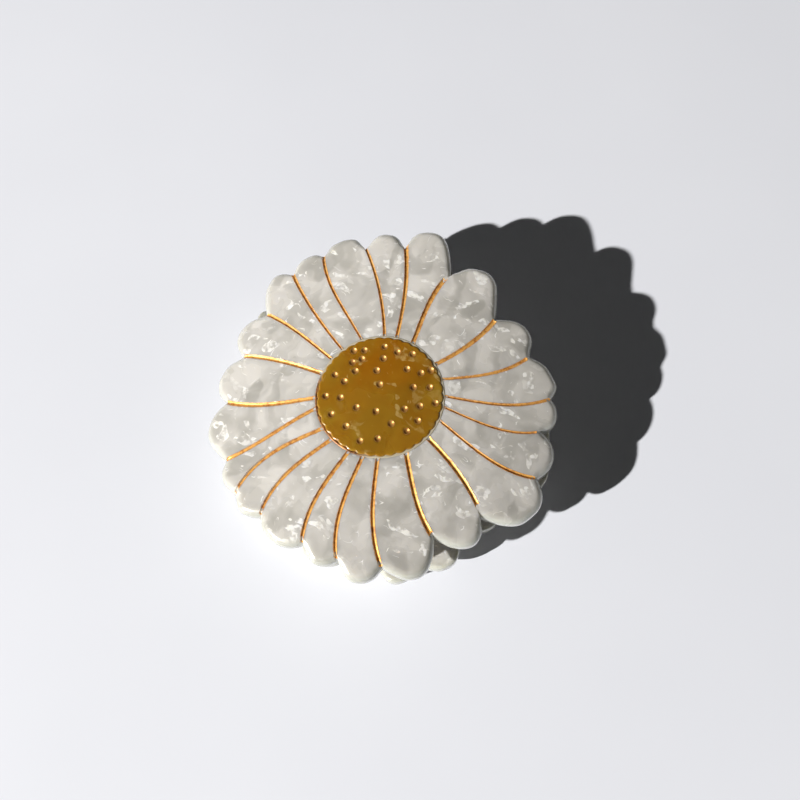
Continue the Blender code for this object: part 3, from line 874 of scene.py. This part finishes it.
def flakes_and_painted_glints(finish, mm, swirled, chips, chip_share, streak_share):
    """How much of a bright flake shows: angular chips, and thin curved streaks in places. The flakes are
    the pearl's own pattern, and their bright colour is partly a painted glint.
    """
    patchy = finish.noise(mm, 0.9).outputs["Fac"]
    chosen = finish.ramp(finish.channel_of(chips, "Green"), 0.92 - chip_share, 1.12 - chip_share)
    shown = finish.maths("MULTIPLY", chosen, finish.ramp(patchy, 0.35, 0.6))
    waves = finish.noise(swirled, 0.35, 1.0).outputs["Fac"]
    from_ridge = finish.maths("ABSOLUTE", finish.maths("SUBTRACT", waves, 0.5))
    places = finish.noise(mm, 0.45, 1.0).outputs["Fac"]
    where = finish.ramp(places, 1.0 - streak_share, 1.09 - streak_share)
    streaks = finish.maths("MULTIPLY", finish.ramp(from_ridge, 0.016, 0.004), where)
    return finish.maths("MAXIMUM", shown, streaks)


def leaning_normal(finish, folds, chips, inside):
    """The surface's normal, leaning a little from fold to fold, least at the rim."""
    fold_lean = finish.scaled(finish.vector_maths(folds, EVEN_GREY, "SUBTRACT"), FOLD_TILT)
    chip_lean = finish.scaled(finish.vector_maths(chips, EVEN_GREY, "SUBTRACT"), CHIP_TILT)
    calm = finish.node("ShaderNodeVectorMath", operation="SCALE")
    finish.link(finish.vector_maths(fold_lean, chip_lean), calm.inputs[0])
    finish.link(finish.maths("ADD", finish.maths("MULTIPLY", inside, 0.9), 0.1), calm.inputs["Scale"])
    surface = finish.node("ShaderNodeNewGeometry").outputs["Normal"]
    normal = finish.node("ShaderNodeVectorMath", operation="NORMALIZE")
    finish.link(finish.vector_maths(surface, calm.outputs["Vector"]), normal.inputs[0])
    return normal.outputs["Vector"]


def pearl_acetate(name, colours, seed, chip_share, streak_share, cloud_size):
    """Mother-of-pearl acetate: a milky clouded body with bright flakes under a clear polished surface.

    The colours are the clouds' deep and pale ones, the flakes' and the rim's; the flakes' colour is partly
    a painted glint. cloud_size is in millimetres, and the shares say how much of the surface has chips and
    streaks.
    """
    deep, pale, flake, rim_colour = colours
    finish = Finish(name)
    mm = finish.vector_maths(finish.place_mm(), (seed, seed * 0.7, seed * 0.3))
    bend = finish.vector_maths(finish.noise(mm, 0.12).outputs["Color"], EVEN_GREY, "SUBTRACT")
    swirled = finish.vector_maths(mm, finish.scaled(bend, SWIRL))

    clouds = finish.noise(swirled, 1 / cloud_size).outputs["Fac"]
    long_folds = finish.vector_maths(swirled, (1.0, 0.5, 0.7), "MULTIPLY")
    folds = finish.cells(long_folds, 1.8 / cloud_size, softness=0.35)
    milk = finish.maths("MULTIPLY", finish.ramp(clouds, 0.3, 0.7), 0.5)
    milk = finish.maths("ADD", milk, finish.maths("MULTIPLY", finish.channel_of(folds, "Red"), 0.6))
    body = finish.blend_colours(milk, deep, pale)

    rim = finish.node("ShaderNodeAttribute", attribute_name=RIM_AND_PAINTED_SHADE).outputs["Fac"]
    clear_rim = finish.ramp(rim, 0.15, 0.9)
    inside = finish.maths("SUBTRACT", 1.0, clear_rim)
    chips = finish.cells(finish.vector_maths(swirled, (0.45, 1.0, 0.8), "MULTIPLY"), 0.8, softness=0.25)
    flakes = flakes_and_painted_glints(finish, mm, swirled, chips, chip_share, streak_share)
    flakes = finish.maths("MULTIPLY", flakes, inside)
    # The flakes' bright colour stands partly for their glints: a painted highlight in the base colour.
    colour = finish.blend_colours(finish.maths("MULTIPLY", flakes, 0.9), body, flake)
    colour = finish.blend_colours(finish.maths("MULTIPLY", clear_rim, 0.8), colour, rim_colour)
    finish.use("Base Color", colour)
    finish.use("Normal", leaning_normal(finish, folds, chips, inside))
    finish.use("Roughness", finish.maths("ADD", finish.maths("MULTIPLY", clouds, 0.2), 0.16))
    finish.set(Coat_Weight=1.0, Coat_Roughness=0.05, Coat_IOR=ACETATE_IOR, IOR=ACETATE_IOR, Metallic=0.04)
    finish.set(Subsurface_Weight=0.7, Subsurface_Scale=2.2 * MM, Subsurface_Radius=(1.0, 0.95, 0.8))
    return finish.material


def band_paint_and_shade(name):
    """Copper paint in the groove round a disc, dark along the side towards the key light as painted shade
    and pale elsewhere.
    """
    finish = Finish(name)
    patches = finish.noise(finish.place_mm(), 1.3, 3.0, 0.6).outputs["Fac"]
    copper = finish.blend_colours(finish.ramp(patches, 0.35, 0.65), (0.11, 0.035, 0.01), (0.50, 0.22, 0.06))
    # The attribute is 1 on the side towards the key light, where the dark copper is painted shade.
    painted = finish.node("ShaderNodeAttribute", attribute_name=RIM_AND_PAINTED_SHADE).outputs["Fac"]
    finish.use("Base Color", finish.blend_colours(painted, (0.46, 0.41, 0.30), copper))
    finish.use("Metallic", finish.maths("MULTIPLY", painted, 0.5))
    finish.set(Roughness=0.35)
    return finish.material


def gold_paint(name, thin, thick, metallic):
    """Gold paint laid in a groove: bright where it is thick, coppery and dull where it is thin."""
    finish = Finish(name)
    mm = finish.place_mm()
    patches = finish.noise(mm, 1.1, 4.0, 0.65).outputs["Fac"]
    finish.use("Base Color", finish.blend_colours(finish.ramp(patches, 0.3, 0.6), thin, thick))
    finish.use("Roughness", finish.maths("ADD", finish.maths("MULTIPLY", patches, -0.25), 0.56))
    finish.bump(finish.noise(mm, 5.0, 3.0).outputs["Fac"], strength=0.4, distance=0.06)
    finish.set(Metallic=metallic)
    return finish.material


def spring_steel(name):
    """Drawn steel with faint lines and a little tarnish."""
    finish = Finish(name)
    mm = finish.place_mm()
    tarnish = finish.noise(mm, 0.6, 4.0, 0.6).outputs["Fac"]
    colour = finish.blend_colours(finish.ramp(tarnish, 0.35, 0.7), (0.66, 0.65, 0.63), (0.50, 0.47, 0.43))
    finish.use("Base Color", colour)
    lines = finish.noise(finish.vector_maths(mm, (9.0, 1.0, 1.0), "MULTIPLY"), 1.5, 3.0).outputs["Fac"]
    finish.use("Roughness", finish.maths("ADD", finish.maths("MULTIPLY", lines, 0.2), 0.16))
    finish.bump(lines, strength=0.15, distance=0.03)
    finish.set(Metallic=1.0)
    return finish.material


def table_top(name):
    """A matt pale table top."""
    finish = Finish(name)
    mm = finish.place_mm()
    cloud = finish.noise(mm, 0.012, 3.0).outputs["Fac"]
    finish.use("Base Color", finish.blend_colours(cloud, (0.75, 0.77, 0.83), (0.82, 0.84, 0.90)))
    finish.set(Roughness=0.6)
    return finish.material


# ---------------------------------------------------------------- floor, light and camera

TABLE_HALF = 3000.0
TABLE_DROP = 0.02           # how far the table top lies under the clip

KEY_TOWARD = Vector((-0.47, -0.73, 0.5)).normalized()
KEY_DISTANCE = 3000.0
KEY_SIZE = 50.0
KEY_WATTS = 174.0

WALL_FADES = (0.10, 0.28)   # sine of the height above the table between which the pale wall fades
WALL_LIGHT = 0.7
CEILING_LIGHT = 0.022

CAMERA_AZIMUTH = math.radians(30.0)
CAMERA_ELEVATION = math.radians(65.2)
CAMERA_ROLL = math.radians(-3.0)
CAMERA_DISTANCE = 184.0
FOCUS_RIGHT = -0.0228       # how far off the sight line the front disc's crown lies, over its distance
FOCUS_UP = 0.0058
LENS = 40.5
SENSOR = 36.0
NEAREST = 10.0


def floor():
    """A plain pale table top, just under the clip."""
    bm = bmesh.new()
    half = TABLE_HALF
    corners = ((-half, -half), (half, -half), (half, half), (-half, half))
    bm.faces.new([bm.verts.new((x, y, -TABLE_DROP)) for x, y in corners])
    add_piece("table_top", bm, table_top("pale_table"), None)


def studio_light():
    """The key light, low on the side of the teeth."""
    lamp = bpy.data.lights.new("key_light", "AREA")
    lamp.shape = "DISK"
    lamp.size = KEY_SIZE * MM
    lamp.energy = KEY_WATTS
    lamp.color = (1.0, 0.98, 0.95)
    key = bpy.data.objects.new("key_light", lamp)
    key.location = KEY_TOWARD * KEY_DISTANCE * MM
    key.rotation_euler = KEY_TOWARD.to_track_quat("Z", "Y").to_euler()
    bpy.context.scene.collection.objects.link(key)


def surround():
    """A dim room with a pale band of wall all round, just above the table."""
    world = bpy.data.worlds.new("studio")
    world.use_nodes = True
    tree = world.node_tree
    direction = tree.nodes.new("ShaderNodeTexCoord")
    parts = tree.nodes.new("ShaderNodeSeparateXYZ")
    tree.links.new(direction.outputs["Generated"], parts.inputs["Vector"])
    height = tree.nodes.new("ShaderNodeMapRange")
    height.interpolation_type = "SMOOTHSTEP"
    height.inputs["From Min"].default_value = WALL_FADES[0]
    height.inputs["From Max"].default_value = WALL_FADES[1]
    height.inputs["To Min"].default_value = WALL_LIGHT
    height.inputs["To Max"].default_value = CEILING_LIGHT
    tree.links.new(parts.outputs["Z"], height.inputs["Value"])
    background = tree.nodes["Background"]
    background.inputs["Color"].default_value = (1.0, 0.99, 0.96, 1.0)
    tree.links.new(height.outputs["Result"], background.inputs["Strength"])
    bpy.context.scene.world = world


def camera():
    """The camera above the clip, on the side of the teeth."""
    look = Vector((
        -math.sin(CAMERA_AZIMUTH) * math.cos(CAMERA_ELEVATION),
        math.cos(CAMERA_AZIMUTH) * math.cos(CAMERA_ELEVATION),
        -math.sin(CAMERA_ELEVATION),
    ))
    level_right = look.cross(Vector((0.0, 0.0, 1.0))).normalized()
    level_up = level_right.cross(look)
    right = level_right * math.cos(CAMERA_ROLL) + level_up * math.sin(CAMERA_ROLL)
    up = level_up * math.cos(CAMERA_ROLL) - level_right * math.sin(CAMERA_ROLL)
    sight = look + right * FOCUS_RIGHT + up * FOCUS_UP
    focus = front_place((0.0, 0.0, 0.0))
    place = bpy.data.objects.new("camera", bpy.data.cameras.new("camera"))
    place.data.lens = LENS
    place.data.sensor_width = SENSOR
    place.data.clip_start = NEAREST * MM
    turn = Matrix((right, up, -look)).transposed().to_4x4()
    place.matrix_world = Matrix.Translation((focus - sight * CAMERA_DISTANCE) * MM) @ turn
    bpy.context.scene.collection.objects.link(place)
    bpy.context.scene.camera = place


# ---------------------------------------------------------------- assembly

def build_jaw(jaw, flower, finishes, rng):
    """Everything that shows on one jaw."""
    flower_plate(f"{jaw}_petals", jaw, flower, finishes["pearl"])
    gold_lines(f"{jaw}_gold_lines", jaw, flower, finishes["gold"], rng)
    centre_disc(f"{jaw}_centre", jaw, finishes["amber"])
    dimple_cups(f"{jaw}_gold_dimples", jaw, finishes["bronze"], rng)
    disc_band(f"{jaw}_gold_band", jaw, finishes["band"])
    soften(f"{jaw}_comb", finishes["pearl"], width=0.35)
    soften(f"{jaw}_lug_left", finishes["pearl"], width=0.3)
    soften(f"{jaw}_lug_right", finishes["pearl"], width=0.3)
    soften(f"{jaw}_spring_seat", finishes["pearl"], width=0.2)


def make_finishes():
    """All the clip's materials."""
    # The third colour of each set is the flakes': their own colour made as bright as their glints, so
    # partly painted highlight.
    white = ((0.41, 0.395, 0.36), (0.71, 0.685, 0.645), (0.98, 0.965, 0.93), (0.40, 0.41, 0.35))
    honey = ((0.27, 0.095, 0.001), (0.33, 0.185, 0.012), (0.52, 0.36, 0.12), (0.24, 0.10, 0.001))
    return {
        "pearl": pearl_acetate(
            "pearl_acetate", white, seed=3.0, chip_share=0.14, streak_share=0.41, cloud_size=6.0,
        ),
        "amber": pearl_acetate(
            "amber_acetate", honey, seed=11.0, chip_share=0.09, streak_share=0.34, cloud_size=10.0,
        ),
        "gold": gold_paint("gold_paint", (0.50, 0.19, 0.045), (0.92, 0.50, 0.13), metallic=0.45),
        "bronze": gold_paint("bronze_paint", (0.30, 0.13, 0.028), (0.58, 0.31, 0.085), metallic=0.55),
        "band": band_paint_and_shade("band_paint_and_shade"),
        "steel": spring_steel("spring_steel"),
    }


def main():
    """Builds the clip, the floor, the light and the camera."""
    rng = random.Random(7)
    finishes = make_finishes()
    build_jaw("back", Flower(BACK_SIZE, BACK_TURN, BACK_SHIFT), finishes, rng)
    build_jaw("front", Flower(1.0, 0.0, FRONT_SHIFT), finishes, rng)
    torsion_spring(finishes["steel"])
    soften("hinge_pin", finishes["steel"], width=0.1)
    soften("pin_cap", finishes["steel"], width=0.15)
    floor()
    studio_light()
    surround()
    camera()
    bpy.context.scene.view_settings.view_transform = "Standard"


main()
